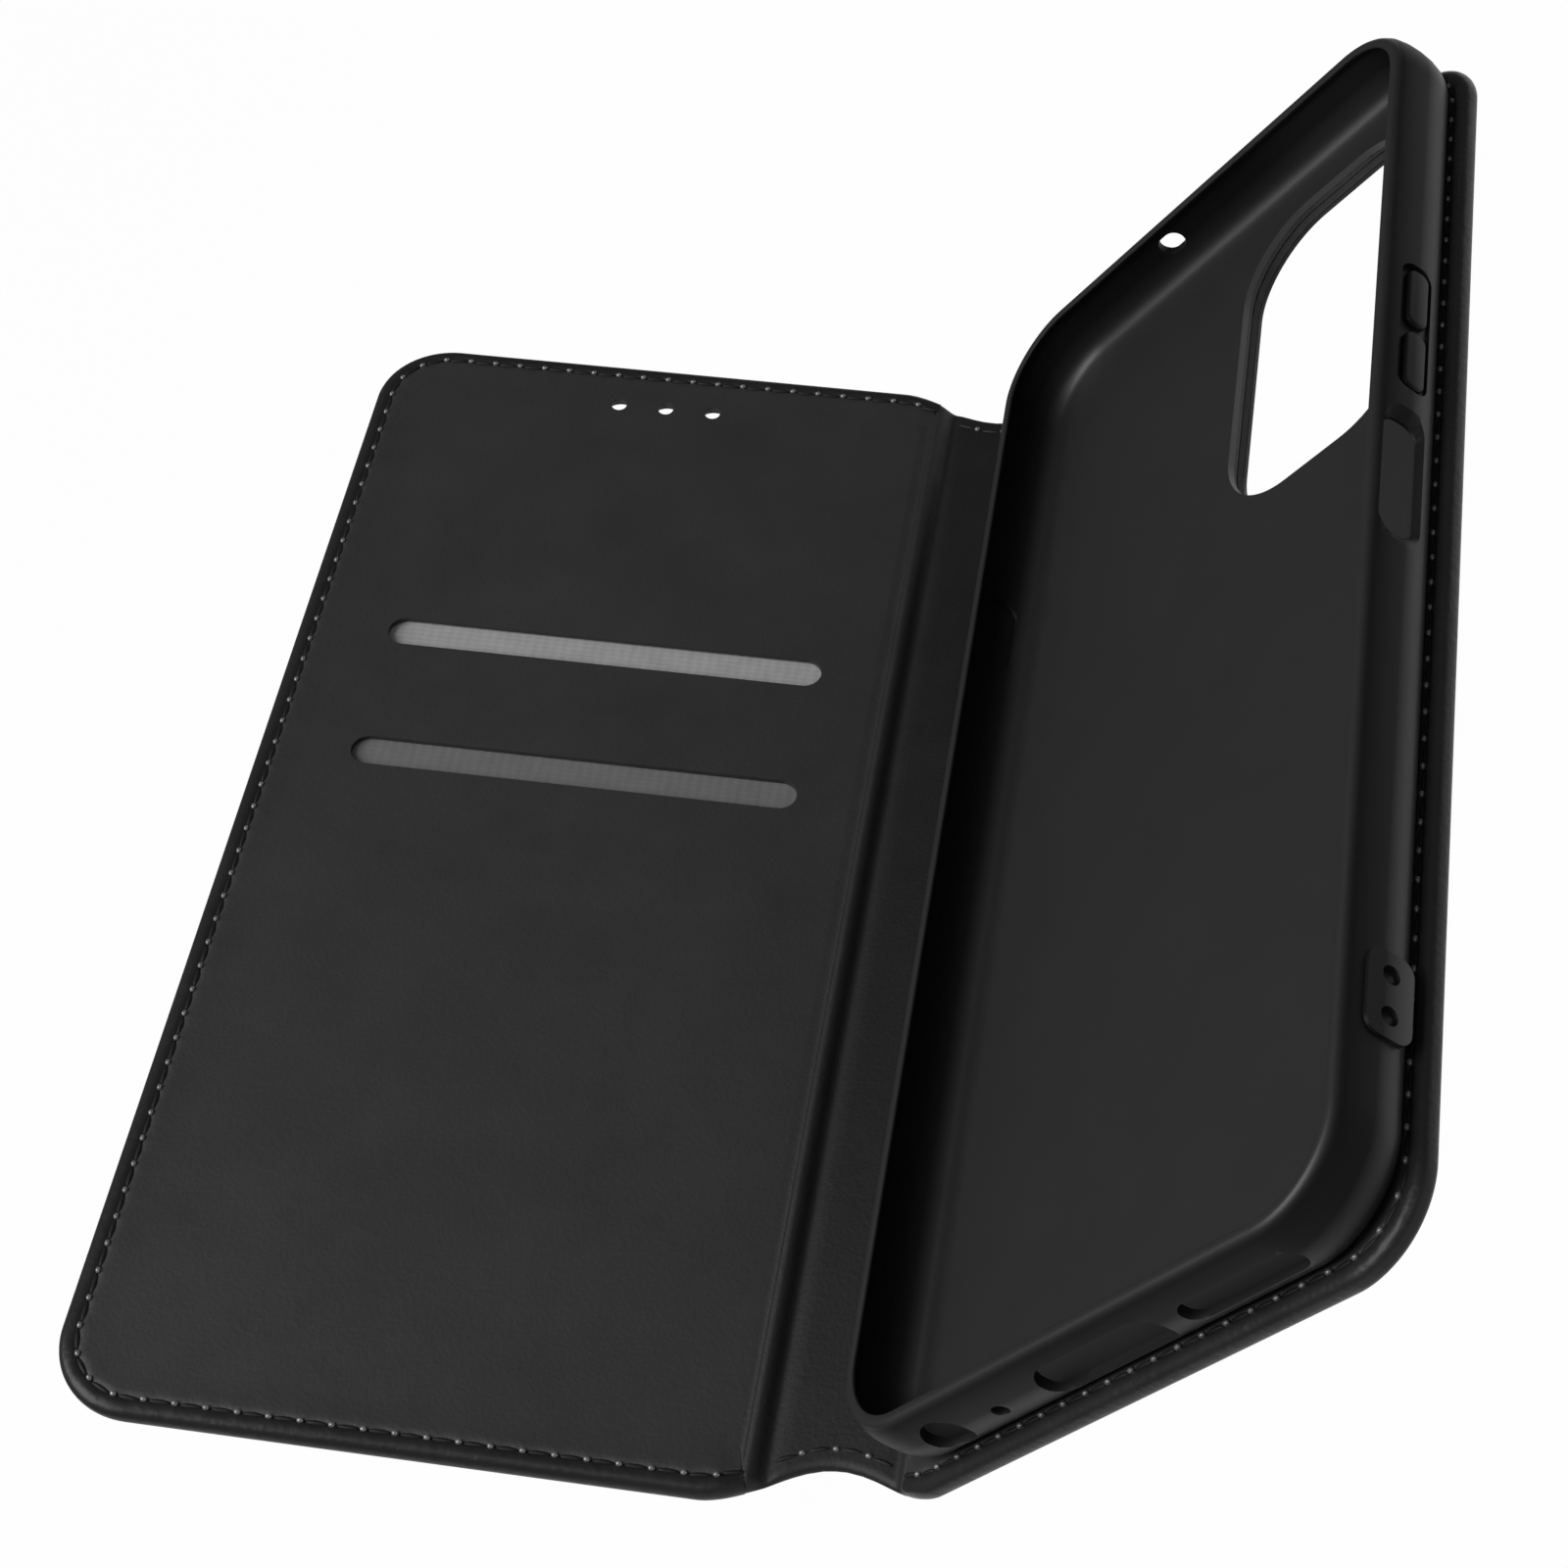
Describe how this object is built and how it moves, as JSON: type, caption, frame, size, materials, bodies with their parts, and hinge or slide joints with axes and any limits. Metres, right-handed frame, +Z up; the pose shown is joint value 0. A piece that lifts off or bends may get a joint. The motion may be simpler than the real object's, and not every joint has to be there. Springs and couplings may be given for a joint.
{
  "type": "phone wallet case",
  "caption": "Black folio case for a phone: soft moulded tray glued in a stitched leather cover with card slots, a flexible spine and pressable side buttons.",
  "frame": {"origin": "on the back cover's outer face, under the middle of the phone tray", "axes": "+X from the spine to the free edge of the back cover, +Y from the phone's bottom to its top, +Z up out of the open tray"},
  "size_m": [0.1391, 0.1686, 0.0773],
  "materials": {
    "shell": "matte moulded",
    "outer_leather": "satin grain",
    "lining": "matte grain",
    "pocket_cloth": "matte weave",
    "board": "dyed fibre board",
    "adhesive": "film",
    "magnet": "plated"
  },
  "bodies": {
    "holder": {"phone_shell": "shell", "shell_adhesive": "adhesive", "back_lining": "lining", "back_board": "board", "back_outer_skin": "outer_leather", "back_magnet_upper": "magnet", "back_magnet_lower": "magnet"},
    "spine": {"spine_outer_skin": "outer_leather", "spine_lining": "lining"},
    "front_cover": {"front_outer_skin": "outer_leather", "front_board": "board", "front_lining": "lining", "upper_card_pocket": "pocket_cloth", "lower_card_pocket": "pocket_cloth", "front_magnet_upper": "magnet", "front_magnet_lower": "magnet"},
    "volume_up": {"volume_up_button": "shell"},
    "volume_down": {"volume_down_button": "shell"}
  },
  "joints": [
    {"name": "back_crease", "type": "hinge", "parent": "holder", "child": "spine", "pos_m": [-0.041, -0.0006, 0.00095], "axis": [0, 1, 0], "range_deg": [-133.5, 46.5]},
    {"name": "front_crease", "type": "hinge", "parent": "spine", "child": "front_cover", "pos_m": [-0.05188, -0.0006, 0.01128], "axis": [0, 1, 0], "range_deg": [-100.8, 79.2]},
    {"name": "volume_up_press", "type": "slide", "parent": "holder", "child": "volume_up", "axis": [-1, 0, 0], "range_m": [0, 0.0005], "stiffness_N_per_m": 800},
    {"name": "volume_down_press", "type": "slide", "parent": "holder", "child": "volume_down", "axis": [-1, 0, 0], "range_m": [0, 0.0005], "stiffness_N_per_m": 800}
  ]
}
